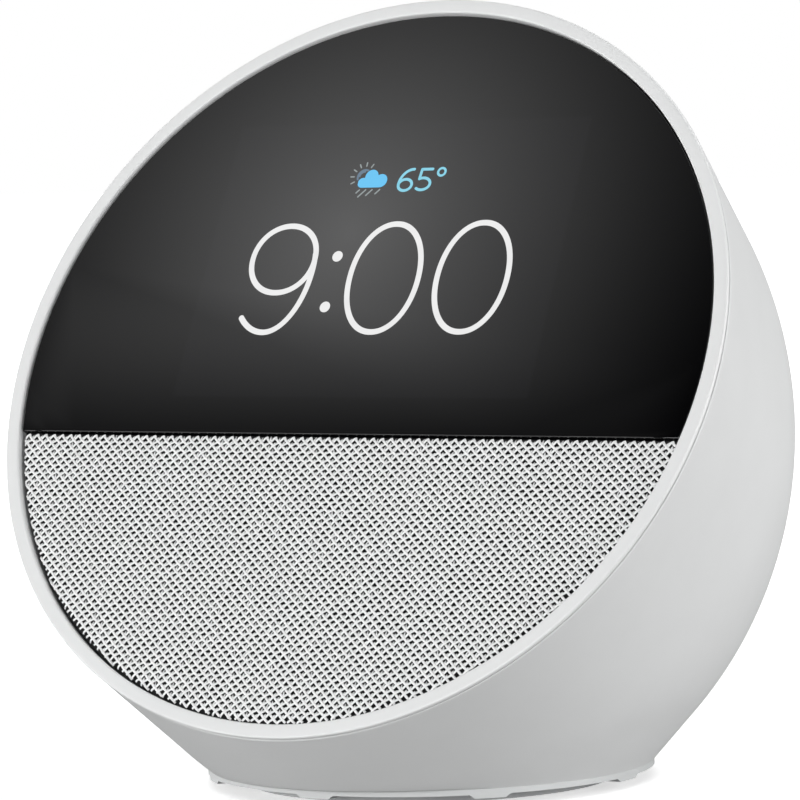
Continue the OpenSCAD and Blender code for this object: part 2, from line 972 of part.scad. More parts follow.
module rubber_foot() {
  color("dimgray")
    translate([0, dome_y, 0])
      difference() {
        cylinder(r = foot_r, h = foot_h, $fn = 96);
        translate([0, 0, -1]) cylinder(r = foot_r - 12, h = foot_h + 2, $fn = 96);
      }
}

module base_screws() {
  color("silver")
    for (a = base_screw_angles)
      translate([base_screw_r * cos(a), dome_y + base_screw_r * sin(a), foot_h + screw_head_h + 0.1])
        mirror([0, 0, 1])
          screw(7);
}

module ballast_plate() {
  color("slategray")
    difference() {
      translate([0, dome_y, ballast_low]) cylinder(r = ballast_r, h = ballast_t, $fn = 96);
      translate([-big / 2, ballast_front - big, 0]) cube([big, big, big]);
      for (a = base_screw_angles)
        translate([base_screw_r * cos(a), dome_y + base_screw_r * sin(a), 0])
          cylinder(r = base_boss_r + boss_gap, h = through, $fn = 32);
    }
}

rear_housing();
front_bezel();
cover_glass();
glass_adhesive();
touch_sensor();
display_cell();
backlight_unit();
display_shield();
display_flex();
front_frame();
grille_cloth();
grille_plate();
speaker_gasket();
speaker_basket();
top_plate();
speaker_magnet();
speaker_yoke();
speaker_cone();
dust_cap();
voice_coil();
cone_surround();
cone_spider();
speaker_seal();
speaker_cup();
cup_screws();
speaker_leads();
main_board();
processor_shield();
radio_shield();
board_connectors();
thermal_pad();
heat_spreader();
board_screws();
frame_screws();
volume_up_button();
mic_mute_button();
volume_down_button();
volume_up_plunger();
mic_mute_plunger();
volume_down_plunger();
button_board();
button_switches();
microphones();
mic_boots();
button_flex();
antennas();
light_sensor();
inlet_collar();
inlet_jack();
inlet_pin();
power_leads();
base_plate();
rubber_foot();
base_screws();
ballast_plate();
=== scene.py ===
"""Round smart display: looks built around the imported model.

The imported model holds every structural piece. This script gives each of them its finish, and
replaces the ones whose skin has to be finer: housing, bezel, glass, grille cloth and buttons.
Local millimetres on the face are (u, v, w): u to the right, v up the face, w out of it.
"""

import json
import math

import bmesh
import bpy
import numpy as np
from mathutils import Matrix, Vector
from mathutils.bvhtree import BVHTree


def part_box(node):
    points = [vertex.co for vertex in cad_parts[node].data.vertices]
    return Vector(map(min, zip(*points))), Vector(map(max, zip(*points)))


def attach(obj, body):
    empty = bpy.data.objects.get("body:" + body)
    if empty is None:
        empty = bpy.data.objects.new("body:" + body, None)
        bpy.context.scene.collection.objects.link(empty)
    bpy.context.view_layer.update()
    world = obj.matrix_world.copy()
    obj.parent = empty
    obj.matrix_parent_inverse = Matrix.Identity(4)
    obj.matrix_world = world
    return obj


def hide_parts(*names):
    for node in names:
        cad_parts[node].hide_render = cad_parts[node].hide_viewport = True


MM = 0.001
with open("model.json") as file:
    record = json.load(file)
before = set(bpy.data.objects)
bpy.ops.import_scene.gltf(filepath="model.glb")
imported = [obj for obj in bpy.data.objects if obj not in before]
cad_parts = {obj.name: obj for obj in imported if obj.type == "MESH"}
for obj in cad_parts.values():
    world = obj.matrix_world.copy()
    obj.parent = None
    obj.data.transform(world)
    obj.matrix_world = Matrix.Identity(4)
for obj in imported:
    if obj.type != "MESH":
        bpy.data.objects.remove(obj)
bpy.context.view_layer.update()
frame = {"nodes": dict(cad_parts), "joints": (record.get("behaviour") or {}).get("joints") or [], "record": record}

# ---------------------------------------------------------------- driving sizes, millimetres
DOME_EXTRA = 0.8
DOME_NARROWING = 5.0
DOME_DROP = 12.05
WALL = 1.8
RIM_DEPTH = 0.85
BEZEL_W = 2.1
BEZEL_T = 0.55
BEZEL_BACK = 3.0
GLASS_DEPTH = 0.5
GLASS_T = 1.1
SPLIT_V = -11.5
EDGE_GAP = 0.3
CLOTH_DEPTH = 0.7
CLOTH_T = 0.5
BUTTON_R = 4.5
BUTTON_PITCH = 16.0
BUTTON_DEPTH = 15.0
BUTTON_GAP = 0.35
MIC_HOLE_R = 0.6
SCREEN_W = 57.6
SCREEN_H = 43.2
SCREEN_V = 15.6

# ---------------------------------------------------------------- places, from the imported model
joints = {j["name"]: j for j in frame["joints"]}
mounts = {m["name"]: m for m in frame["record"]["mounts"]}
OUT = Vector(joints["cone_stroke"]["axis"])
UP = -Vector(joints["mic_mute_press"]["axis"])
ACROSS = UP.cross(OUT)


def reach(node, axis):
    """Lowest and highest place of a CAD node along an axis, in millimetres."""
    places = [v.co.dot(axis) / MM for v in frame["nodes"][node].data.vertices]
    return min(places), max(places)


FACE_R = reach("front_bezel", ACROSS)[1]
FACE_CENTRE = UP * (sum(reach("front_bezel", UP)) / 2) + OUT * reach("front_bezel", OUT)[1]
FACE_TURN = Matrix((ACROSS, UP, OUT)).transposed().to_4x4()
ON_FACE = Matrix.Translation(FACE_CENTRE * MM) @ FACE_TURN @ Matrix.Scale(MM, 4)
IN_PLACE = Matrix.Scale(MM, 4)
TILT = math.atan2(OUT.z, -OUT.y)
OPENING_R = FACE_R - BEZEL_W
GLASS_R = OPENING_R - EDGE_GAP
BUTTON_TOP = reach("mic_mute_button", UP)[1] - FACE_CENTRE.dot(UP)
DOME_R = FACE_R + DOME_EXTRA
DOME_HALF_W = FACE_R - DOME_NARROWING
DOME_Y = mounts["foot_base"]["pos_m"][1] / MM
DOME_Z = FACE_CENTRE.z - DOME_DROP
BASE_R = reach("base_plate", Vector((1, 0, 0)))[1]
BASE_Z = reach("rear_housing", Vector((0, 0, 1)))[0]


# ---------------------------------------------------------------- mesh helpers
def loft(loops, ring=False, caps=True):
    """Faces between loops of equal length. ring joins the last loop to the first; caps close the ends."""
    count = len(loops[0])
    vertices = [tuple(p) for loop in loops for p in loop]
    faces = []
    last = len(loops) if ring else len(loops) - 1
    for i in range(last):
        a, b = i * count, (i + 1) % len(loops) * count
        for j in range(count):
            k = (j + 1) % count
            faces.append((a + j, a + k, b + k, b + j))
    if caps and not ring:
        faces.append(tuple(range(count))[::-1])
        faces.append(tuple(range(len(vertices) - count, len(vertices))))
    return vertices, faces


def joined(*meshes):
    """Several (vertices, faces) as one."""
    vertices, faces = [], []
    for v, f in meshes:
        start = len(vertices)
        vertices += list(v)
        faces += [tuple(i + start for i in face) for face in f]
    return vertices, faces


def linked(name, data):
    """Object that holds this data, in the scene."""
    obj = bpy.data.objects.new(name, data)
    bpy.context.scene.collection.objects.link(obj)
    return obj


def finished(name, mesh, material, body="display", sharp=35):
    """Object of a ready mesh, smooth up to an angle in degrees, that rides on a body."""
    mesh.materials.clear()
    mesh.materials.append(material)
    mesh.polygons.foreach_set("use_smooth", [True] * len(mesh.polygons))
    mesh.set_sharp_from_angle(angle=math.radians(sharp))
    obj = linked(name, mesh)
    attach(obj, body)
    return obj


def piece(name, mesh_parts, place, material, body="display", sharp=35):
    """A finished piece: its place goes into its mesh, its faces point outwards and it rides on a body."""
    vertices, faces = mesh_parts
    mesh = bpy.data.meshes.new(name)
    mesh.from_pydata(vertices, [], faces)
    mesh.transform(place)
    bm = bmesh.new()
    bm.from_mesh(mesh)
    bmesh.ops.remove_doubles(bm, verts=bm.verts, dist=1e-7)
    bmesh.ops.recalc_face_normals(bm, faces=bm.faces)
    bm.to_mesh(mesh)
    bm.free()
    return finished(name, mesh, material, body, sharp)


def full_turn(count):
    """Angles of even steps round a circle."""
    return 2 * math.pi * np.arange(count) / count


def circle(radius, w, count=192, centre=(0, 0)):
    """Loop of points round a centre at the height w."""
    u = centre[0] + radius * np.cos(full_turn(count))
    v = centre[1] + radius * np.sin(full_turn(count))
    return np.stack([u, v, np.full(count, w)], 1)


def quarter_round(radius, steps=5):
    """(inset, drop) pairs of a rounded edge, from the flat top to the side."""
    turns = [math.pi / 2 * i / steps for i in range(steps + 1)]
    return [(radius * (1 - math.sin(t)), radius * (1 - math.cos(t))) for t in turns]


# ---------------------------------------------------------------- materials
def linear(code):
    """sRGB hex colour as linear RGBA."""
    channels = [int(code[i : i + 2], 16) / 255 for i in (1, 3, 5)]
    return [c / 12.92 if c <= 0.04045 else ((c + 0.055) / 1.055) ** 2.4 for c in channels] + [1.0]


def add(tree, kind, inputs=None, **settings):
    """Adds a node with its settings. Each input takes a value, a link, or another node's first output."""
    node = tree.nodes.new(kind)
    for name, value in settings.items():
        setattr(node, name, value)
    for name, value in (inputs or {}).items():
        if isinstance(value, bpy.types.Node):
            value = value.outputs[0]
        if isinstance(value, bpy.types.NodeSocket):
            tree.links.new(value, node.inputs[name])
        else:
            node.inputs[name].default_value = value
    return node


def new_material(name):
    """Empty material. Returns it, its tree and the Object coordinates that its patterns follow."""
    material = bpy.data.materials.new(name)
    material.use_nodes = True
    tree = material.node_tree
    tree.nodes.clear()
    return material, tree, add(tree, "ShaderNodeTexCoord").outputs["Object"]


def surfaced(material, inputs):
    """Gives a material its surface: a Principled shader with these inputs."""
    shader = add(material.node_tree, "ShaderNodeBsdfPrincipled", inputs)
    add(material.node_tree, "ShaderNodeOutputMaterial", {"Surface": shader})
    return material


def moulded(name, dark, light, rough, grain=0.25, depth=0.004, blotch=9.0):
    """Injection-moulded plastic: spark-eroded grain, and a faint change of shade from flow in the mould."""
    material, tree, place = new_material(name)
    fine = add(tree, "ShaderNodeTexNoise", {"Vector": place, "Scale": 1 / (grain * MM), "Detail": 3.0})
    broad = add(tree, "ShaderNodeTexNoise", {"Vector": place, "Scale": 1 / (blotch * MM), "Detail": 2.0})
    tone = add(tree, "ShaderNodeMix", {0: broad, 6: linear(dark), 7: linear(light)}, data_type="RGBA")
    range_of_gloss = {"To Min": rough - 0.05, "To Max": rough + 0.05}
    gloss = add(tree, "ShaderNodeMapRange", {"Value": fine, **range_of_gloss})
    bumps = add(tree, "ShaderNodeBump", {"Height": fine, "Strength": 1.0, "Distance": depth * MM})
    return surfaced(
        material,
        {"Base Color": tone.outputs[2], "Roughness": gloss, "Normal": bumps, "IOR": 1.49},
    )


def metal(name, dark, light, rough, stretch=(1, 1, 1), line=0.3, depth=0.002):
    """Bare or plated metal: rolled or turned lines, or an even etched grain where stretch is 1."""
    material, tree, place = new_material(name)
    turned = add(tree, "ShaderNodeMapping", {"Vector": place, "Scale": stretch})
    lines = add(tree, "ShaderNodeTexNoise", {"Vector": turned, "Scale": 1 / (line * MM), "Detail": 3.0})
    tone = add(tree, "ShaderNodeMix", {0: lines, 6: linear(dark), 7: linear(light)}, data_type="RGBA")
    range_of_gloss = {"To Min": rough - 0.06, "To Max": rough + 0.08}
    gloss = add(tree, "ShaderNodeMapRange", {"Value": lines, **range_of_gloss})
    bumps = add(tree, "ShaderNodeBump", {"Height": lines, "Strength": 1.0, "Distance": depth * MM})
    return surfaced(
        material,
        {"Base Color": tone.outputs[2], "Roughness": gloss, "Normal": bumps, "Metallic": 1.0},
    )


def fibrous(name, dark, light, rough, fibre=0.12, depth=0.03, sheen=0.0):
    """Paper, felt, foam or cotton: soft, matt and uneven at the size of its fibres or cells."""
    material, tree, place = new_material(name)
    cells = add(tree, "ShaderNodeTexVoronoi", {"Vector": place, "Scale": 1 / (fibre * MM)})
    soft = add(tree, "ShaderNodeTexNoise", {"Vector": place, "Scale": 1 / (3 * fibre * MM), "Detail": 3.0})
    tone = add(tree, "ShaderNodeMix", {0: soft, 6: linear(dark), 7: linear(light)}, data_type="RGBA")
    bumps = add(tree, "ShaderNodeBump", {"Height": cells, "Strength": 1.0, "Distance": depth * MM})
    soft_look = {"Roughness": rough, "IOR": 1.45, "Sheen Weight": sheen}
    return surfaced(material, {**soft_look, "Base Color": tone.outputs[2], "Normal": bumps})


def wound_copper(name):
    """Enamelled wire wound in fine turns about the cone's axis, with a painted glint: its colour is lighter on the
    crest of each turn and darker in the grooves between, painted shade that follows the ribbed bumps.
    """
    material, tree, place = new_material(name)
    turn_width = 0.9
    turned = add(tree, "ShaderNodeMapping", {"Vector": place, "Rotation": (TILT, 0, 0)})
    scale = 1 / (turn_width * MM) / 2
    turns = add(tree, "ShaderNodeTexWave", {"Vector": turned, "Scale": scale}, bands_direction="Y").outputs[1]
    # painted glint and shade: light copper on each turn's crest, dark copper in the grooves, following the bump
    dark, light = linear("#6E3418"), linear("#C87A45")
    tone = add(tree, "ShaderNodeMix", {0: turns, 6: dark, 7: light}, data_type="RGBA")
    bumps = add(tree, "ShaderNodeBump", {"Height": turns, "Strength": 1.0, "Distance": 0.05 * MM})
    enamel = {"Metallic": 1.0, "Roughness": 0.3, "Coat Weight": 0.6}
    return surfaced(material, {**enamel, "Base Color": tone.outputs[2], "Normal": bumps})


def circuit_laminate(name):
    """Glass-epoxy board under green solder mask: fine straight tracks that stand up a little."""
    material, tree, place = new_material(name)
    track_length = 6
    tracks = add(
        tree,
        "ShaderNodeTexBrick",
        {
            "Vector": place,
            "Scale": 1 / (track_length * MM),
            "Color1": linear("#0D4A2E"),
            "Color2": linear("#0A3D26"),
            "Mortar": linear("#1C7A4C"),
            "Mortar Size": 0.03,
            "Row Height": 0.3,
        },
    ).outputs
    bumps = add(tree, "ShaderNodeBump", {"Height": tracks["Fac"], "Strength": 1.0, "Distance": 0.03 * MM})
    return surfaced(
        material,
        {"Base Color": tracks["Color"], "Normal": bumps, "IOR": 1.5, "Roughness": 0.3, "Coat Weight": 0.5},
    )


def panel_mask(tree, place, softness=0.25):
    """1 inside the screen's rectangle and 0 outside, read from the face's own axes."""
    sides = []
    for axis, centre, half in ((ACROSS, 0.0, SCREEN_W / 2), (UP, SCREEN_V, SCREEN_H / 2)):
        along = add(tree, "ShaderNodeVectorMath", {0: place, 1: axis}, operation="DOT_PRODUCT")
        middle = (FACE_CENTRE.dot(axis) + centre) * MM
        away = add(tree, "ShaderNodeMath", {0: along.outputs["Value"], 1: middle}, operation="SUBTRACT")
        away = add(tree, "ShaderNodeMath", {0: away}, operation="ABSOLUTE")
        edges = {"From Min": (half - softness) * MM, "From Max": half * MM, "To Min": 1.0, "To Max": 0.0}
        sides.append(add(tree, "ShaderNodeMapRange", {"Value": away, **edges}))
    return add(tree, "ShaderNodeMath", {0: sides[0], 1: sides[1]}, operation="MULTIPLY")


def black_glass(name):
    """Hardened cover glass printed black behind: deep gloss, with the panel area a shade paler."""
    material, tree, place = new_material(name)
    smear_size = 14.0
    smear = add(tree, "ShaderNodeTexNoise", {"Vector": place, "Scale": 1 / (smear_size * MM), "Detail": 2.0})
    mask = panel_mask(tree, place)
    dark, light = linear("#050506"), linear("#0C0C0E")
    tone = add(tree, "ShaderNodeMix", {0: mask, 6: dark, 7: light}, data_type="RGBA")
    gloss = add(tree, "ShaderNodeMapRange", {"Value": smear, "To Min": 0.03, "To Max": 0.06})
    return surfaced(material, {"Base Color": tone.outputs[2], "Roughness": gloss, "IOR": 1.52})


def lit(name, colour, strength, shade=0.9):
    """Part of the panel that is switched on, under the same glass: an even glow with a gloss over it."""
    material, tree, place = new_material(name)
    patch = 2.5
    cells = add(tree, "ShaderNodeTexNoise", {"Vector": place, "Scale": 1 / (patch * MM), "Detail": 1.0})
    dim = [c * shade for c in linear(colour)[:3]] + [1.0]
    glow = add(tree, "ShaderNodeMix", {0: cells, 6: dim, 7: linear(colour)}, data_type="RGBA")
    return surfaced(
        material,
        {
            "Base Color": linear("#101012"),
            "Emission Color": glow.outputs[2],
            "Emission Strength": strength,
            "IOR": 1.52,
            "Roughness": 0.05,
        },
    )


def yarn(name, dark, light):
    """Textured polyester yarn: a bundle of fine filaments, matt with a soft sheen."""
    material, tree, place = new_material(name)
    filament, patch = 0.07, 1.6
    fine = {"Scale": 1 / (filament * MM), "Detail": 2.0}
    filaments = add(tree, "ShaderNodeTexNoise", {"Vector": place, **fine})
    dye = add(tree, "ShaderNodeTexNoise", {"Vector": place, "Scale": 1 / (patch * MM), "Detail": 2.0})
    tone = add(tree, "ShaderNodeMix", {0: dye, 6: linear(dark), 7: linear(light)}, data_type="RGBA")
    bumps = add(tree, "ShaderNodeBump", {"Height": filaments, "Strength": 1.0, "Distance": 0.02 * MM})
    matt = {"IOR": 1.5, "Roughness": 0.75, "Sheen Weight": 0.25}
    return surfaced(material, {**matt, "Base Color": tone.outputs[2], "Normal": bumps})


FINISHES = {
    "housing_plastic": moulded("satin_white_asa", "#E6E7E7", "#EBECEC", 0.42),
    "bezel_plastic": moulded("fine_satin_white_asa", "#EAEBEB", "#EEEFEF", 0.36, 0.2, 0.002),
    "cover_glass": black_glass("printed_cover_glass"),
    "black_tape": fibrous("black_foam_tape", "#0C0C0C", "#161616", 0.9, 0.2),
    "sensor_film": moulded("clear_sensor_film", "#1A1C20", "#23262B", 0.12, 1.5, 0.001),
    "panel_glass": moulded("panel_glass_dark", "#0C0E12", "#12151A", 0.08, 2.0, 0.0005),
    "light_guide": moulded("white_film_stack", "#D8DADC", "#ECEEEF", 0.3, 0.6, 0.002),
    "tinned_steel": metal("tinned_steel", "#B9BABA", "#D2D3D3", 0.3, (1, 6, 6), 0.5),
    "flex_circuit": moulded("amber_polyimide", "#A8631B", "#C07A26", 0.25, 0.8, 0.004, 3.0),
    "frame_plastic": moulded("glass_filled_nylon", "#1C1C1E", "#29292B", 0.55, 0.5, 0.01, 2.0),
    "grille_cloth": yarn("light_grey_polyester_yarn", "#F2F3F3", "#FBFBFB"),
    "grille_plastic": moulded("black_abs", "#0A0A0B", "#101011", 0.6),
    "foam": fibrous("closed_cell_foam", "#141414", "#1F1F1F", 0.95, 0.3, 0.06),
    "basket_steel": moulded("black_coated_steel", "#121213", "#1B1B1D", 0.4, 0.5, 0.008, 4.0),
    "plated_steel": metal("zinc_plated_steel", "#A9AAAB", "#C7C8C9", 0.35),
    "ferrite": fibrous("sintered_ferrite", "#1D1D1F", "#2A2A2D", 0.5, 0.15, 0.01),
    "cone_paper": fibrous("pressed_paper_pulp", "#121213", "#1E1E20", 0.85, 0.25, 0.03),
    "coil_copper": wound_copper("enamelled_copper_wire_painted_glint"),
    "surround_rubber": moulded("butyl_rubber", "#0B0B0B", "#131313", 0.5, 0.4, 0.006),
    "spider_cloth": fibrous("phenolic_cotton", "#9C7A33", "#B8944A", 0.8, 0.3, 0.05, 0.2),
    "lead_insulation": moulded("red_vinyl", "#8E1414", "#A61B1B", 0.4),
    "circuit_board": circuit_laminate("green_solder_mask"),
    "connector_plastic": moulded("ivory_nylon", "#D8D2BE", "#E4DECC", 0.45),
    "pad_silicone": moulded("soft_silicone", "#6F8090", "#8093A4", 0.7, 0.3, 0.01),
    "heat_sink": metal("extruded_aluminium", "#BDBEBF", "#DADBDB", 0.4, (8, 1, 8), 0.6),
    "screw_steel": metal("nickel_plated_steel", "#9FA09F", "#C2C3C2", 0.28),
    "button_plastic": moulded("satin_white_abs", "#EDEEEE", "#F1F2F2", 0.4, 0.2, 0.003),
    "switch_plastic": moulded("black_acetal", "#0C0C0C", "#141414", 0.35),
    "antenna_foil": metal("gold_plated_foil", "#B98A3C", "#DDB262", 0.3),
    "jack_plastic": moulded("black_pbt", "#0B0B0C", "#121213", 0.45),
    "base_plastic": moulded("satin_grey_asa", "#C9CBCB", "#D0D2D2", 0.45),
    "foot_rubber": moulded("grey_silicone_rubber", "#B4B6B7", "#BEC0C1", 0.75, 0.5, 0.02),
    "ballast_steel": metal("pressed_steel", "#6B6C6D", "#8A8B8C", 0.5),
}
GLYPH_PRINT = moulded("pad_printed_grey_ink", "#8B8D8F", "#949698", 0.5, 0.15, 0.002)
LIT_WHITE = lit("lit_panel_white", "#F4F4F4", 0.92)
LIT_CYAN = lit("lit_panel_cyan", "#86DDF5", 0.85)
LIT_BLUE = lit("lit_panel_blue", "#52C2F6", 0.95)
LIT_DIM_BLUE = lit("lit_panel_dim_blue", "#5E7F9A", 0.7)
LIT_GREY = lit("lit_panel_grey", "#A4AFB0", 0.7)
SCRIM = fibrous("charcoal_scrim", "#050505", "#0A0A0A", 0.95, 0.2, 0.02)

for row in frame["record"]["subparts"]:
    cad = frame["nodes"][row["node"]]
    for material_slot in cad.material_slots:
        material_slot.material = FINISHES[row["material_slot"]]


# ---------------------------------------------------------------- camera
def studio_camera():
    """Long lens a little above the table, to the right of the face."""
    azimuth = math.radians(31.332)
    height = math.radians(3.091)
    roll = math.radians(-1.489)
    distance = 642.93
    aim_drop = 6.07
    level = Vector((math.sin(azimuth) * math.cos(height), -math.cos(azimuth) * math.cos(height), 0))
    back = level + Vector((0, 0, math.sin(height)))
    aim = Vector((0, FACE_CENTRE.y, FACE_CENTRE.z - aim_drop))
    right = Vector((math.cos(azimuth), math.sin(azimuth), 0))
    up = back.cross(right)
    rolled_right = math.cos(roll) * right + math.sin(roll) * up
    rolled_up = math.cos(roll) * up - math.sin(roll) * right
    camera = linked("studio_camera", bpy.data.cameras.new("studio_camera"))
    turn = Matrix((rolled_right, rolled_up, back)).transposed().to_4x4()
    camera.matrix_world = Matrix.Translation((aim + back * distance) * MM) @ turn
    camera.data.sensor_width = 36
    camera.data.lens = 208.8
    camera.data.shift_x = 0.0567
    camera.data.shift_y = 0.0013
    camera.data.clip_start = 0.01
    bpy.context.scene.camera = camera


studio_camera()


# ---------------------------------------------------------------- housing
def housing_form():
    """Skin stretched over the rim, the squeezed dome and the base, as a tree that rays can be cast at."""
    rim_steps, polar_steps, round_steps = 720, 120, 240
    points = []
    for step in range(rim_steps):
        a = math.radians(360 * step / rim_steps)
        spoke = ACROSS * FACE_R * math.cos(a) + UP * FACE_R * math.sin(a)
        points.append(FACE_CENTRE + spoke - OUT * RIM_DEPTH)
        points.append(Vector((BASE_R * math.cos(a), DOME_Y + BASE_R * math.sin(a), BASE_Z)))
    for i in range(1, polar_steps):
        polar = math.pi * i / polar_steps
        for j in range(round_steps):
            a = 2 * math.pi * j / round_steps
            x = DOME_HALF_W * math.sin(polar) * math.cos(a)
            y = DOME_Y + DOME_R * math.sin(polar) * math.sin(a)
            p = Vector((x, y, DOME_Z + DOME_R * math.cos(polar)))
            if p.z > BASE_Z and (p - FACE_CENTRE).dot(OUT) < -RIM_DEPTH:
                points.append(p)
    bm = bmesh.new()
    for p in points:
        bm.verts.new(p)
    bmesh.ops.convex_hull(bm, input=bm.verts)
    tree = BVHTree.FromBMesh(bm)
    bm.free()
    return tree


def dome_distance(start, way):
    """How far from a point inside it the squeezed dome's surface is, along a direction."""
    squeeze = Vector((DOME_R / DOME_HALF_W, 1, 1))
    o = (start - Vector((0, DOME_Y, DOME_Z))) * squeeze
    d = way * squeeze
    a, b, c = d.dot(d), o.dot(d), o.dot(o) - DOME_R**2
    inside = b * b - a * c
    return (-b + math.sqrt(inside)) / a if inside > 0 else 0.0


def skin_rows(columns, rows):
    """Loops of the housing's skin from rim to base, on planes that turn about the line where both meet."""
    tree = housing_form()
    rim_centre = FACE_CENTRE - OUT * RIM_DEPTH
    to_hinge = (rim_centre.z - BASE_Z) / UP.z
    hinge = rim_centre - UP * to_hinge
    steep = math.atan2(UP.z, UP.y)
    rim_turn = math.radians(1.25)
    loops = []
    for i in range(rows):
        turn = (steep - rim_turn) * (1 - i / rows)
        part = turn / steep
        way_in = Vector((0, math.cos(turn), math.sin(turn)))
        middle = hinge + way_in * (to_hinge * part + (DOME_Y - hinge.y) * (1 - part))
        loop = []
        for a in full_turn(columns):
            way = Vector((1, 0, 0)) * math.cos(a) + way_in * math.sin(a)
            hit = tree.ray_cast(middle, way)[0]
            distance = max((hit - middle).length, dome_distance(middle, way))
            loop.append(middle + way * distance)
        loops.append(np.array(loop))
    base = [(BASE_R * math.cos(a), DOME_Y + BASE_R * math.sin(a), BASE_Z) for a in full_turn(columns)]
    return loops + [np.array(base)]


def on_face_points(loop):
    """Face-local points as places in the row frame, both in millimetres."""
    turn = np.array(Matrix((ACROSS, UP, OUT)))
    return np.asarray(loop) @ turn + np.array(FACE_CENTRE)


def inward(loops, thickness):
    """Copies of loops drawn in by a thickness for each loop, square to the skin."""
    grid = np.array(loops)
    along = np.roll(grid, -1, 1) - np.roll(grid, 1, 1)
    down = np.gradient(grid, axis=0)
    normal = np.cross(along, down)
    normal /= np.linalg.norm(normal, axis=2, keepdims=True)
    middle = grid.mean(axis=(0, 1))
    normal *= np.sign(((grid - middle) * normal).sum(2))[..., None]
    return list(grid - normal * np.array(thickness)[:, None, None])


def rod(radius, start, end, count=64):
    """Closed cylinder between two points."""
    way = (end - start).normalized()
    side = way.orthogonal().normalized()
    other = way.cross(side)
    loops = []
    for p in (start, end):
        loops.append([p + radius * (side * math.cos(a) + other * math.sin(a)) for a in full_turn(count)])
    return loft(loops)


def housing_shell():
    """Thin-walled housing with its edge at the bezel, and holes for buttons, microphones and power."""
    columns, rows = 240, 110
    lip, rounding, thin_rows, base_lip_part = 1.2, 0.18, 20, 0.93
    outer = skin_rows(columns, rows)
    rim = []
    for inset, drop in quarter_round(rounding):
        rim.append(on_face_points(circle(FACE_R - inset, -RIM_DEPTH - drop, columns)))
    rim_lip = on_face_points(circle(FACE_R - lip, -RIM_DEPTH, columns))
    walls = [lip + (WALL - lip) * min(1, i / thin_rows) for i in range(len(outer))]
    inner = inward(outer, walls)[::-1]
    base_centre = np.array([0, DOME_Y, BASE_Z])
    base_lip = base_centre + (outer[-1] - base_centre) * base_lip_part
    shell_parts = loft([rim_lip] + rim + outer + [base_lip] + inner, ring=True)
    shell = piece("rear_housing_shell", shell_parts, IN_PLACE, FINISHES["housing_plastic"])

    cut_start, cut_long = 12, 16
    holes = []
    buttons = [(x, BUTTON_R + BUTTON_GAP, 96) for x in (-BUTTON_PITCH, 0, BUTTON_PITCH)]
    microphones = [(x, MIC_HOLE_R, 32) for x in (-BUTTON_PITCH / 2, BUTTON_PITCH / 2)]
    for x, radius, count in buttons + microphones:
        foot = FACE_CENTRE + ACROSS * x - OUT * BUTTON_DEPTH + UP * (FACE_R - cut_start)
        holes.append(rod(radius, foot, foot + UP * cut_long, count))
    low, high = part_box("inlet_collar")
    middle = (low + high) / 2 / MM
    flange, clearance, well_out = 1.4, 0.05, 30
    collar_r = reach("inlet_collar", ACROSS)[1] - flange
    holes.append(rod(collar_r + clearance, middle, middle - OUT * well_out, 96))
    cutter = piece("hole_cutter", joined(*holes), IN_PLACE, FINISHES["housing_plastic"])
    cut = shell.modifiers.new("holes", "BOOLEAN")
    cut.operation = "DIFFERENCE"
    cut.object = cutter
    cut.solver = "EXACT"
    mesh = bpy.data.meshes.new_from_object(shell.evaluated_get(bpy.context.evaluated_depsgraph_get()))
    bpy.data.objects.remove(cutter)
    bpy.data.objects.remove(shell)
    shell = finished("rear_housing_skin", mesh, FINISHES["housing_plastic"])
    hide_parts("rear_housing")


housing_shell()


# ---------------------------------------------------------------- bezel and glass
def bezel_ring():
    """Ring with a softly rounded outer and inner edge, and a thin sleeve that holds the glass."""
    rounding = 0.3
    sleeve_r = OPENING_R + 0.7
    profile = [(FACE_R - inset, -drop) for inset, drop in quarter_round(rounding)]
    profile += [(FACE_R, -BEZEL_T), (sleeve_r, -BEZEL_T), (sleeve_r, -BEZEL_BACK), (OPENING_R, -BEZEL_BACK)]
    profile += [(OPENING_R + inset, -drop) for inset, drop in reversed(quarter_round(rounding))]
    parts = loft([circle(r, w, 288) for r, w in profile], ring=True)
    ring = piece("bezel_ring", parts, ON_FACE, FINISHES["bezel_plastic"])
    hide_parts("front_bezel")


def segment(radius, chord_v, w, above=True, arc_steps=160, chord_steps=24):
    """Outline of the part of a disc above or below a level line."""
    a = math.asin(chord_v / radius)
    start, end = (a, math.pi - a) if above else (math.pi - a, 2 * math.pi + a)
    arc = [(radius * math.cos(t), radius * math.sin(t), w) for t in np.linspace(start, end, arc_steps)]
    x = radius * math.cos(a) * (-1 if above else 1)
    chord = [(x * (1 - 2 * i / chord_steps), chord_v, w) for i in range(1, chord_steps)]
    return arc + chord


def glass_panel():
    """Flat glass with a ground and rounded edge."""
    rounding = 0.12
    loops = []
    for inset, drop in quarter_round(rounding):
        loops.append(segment(GLASS_R - inset, SPLIT_V + inset, -GLASS_DEPTH - drop))
    loops.append(segment(GLASS_R, SPLIT_V, -GLASS_DEPTH - GLASS_T))
    glass = piece("cover_glass_pane", loft(loops), ON_FACE, FINISHES["cover_glass"])
    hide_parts("cover_glass")


bezel_ring()
glass_panel()


# ---------------------------------------------------------------- what the screen shows
LIT_W = -GLASS_DEPTH + 0.012
LIT_T = 0.03


def arc(centre, across, up, start, end, steps=64, power=2.0):
    """Points on an oval; a power above 2 squares it a little."""
    points = []
    for i in range(steps + 1):
        t = math.radians(start + (end - start) * i / steps)
        c, s = math.cos(t), math.sin(t)
        x = math.copysign(abs(c) ** (2 / power), c)
        y = math.copysign(abs(s) ** (2 / power), s)
        points.append((centre[0] + across * x, centre[1] + up * y))
    return points


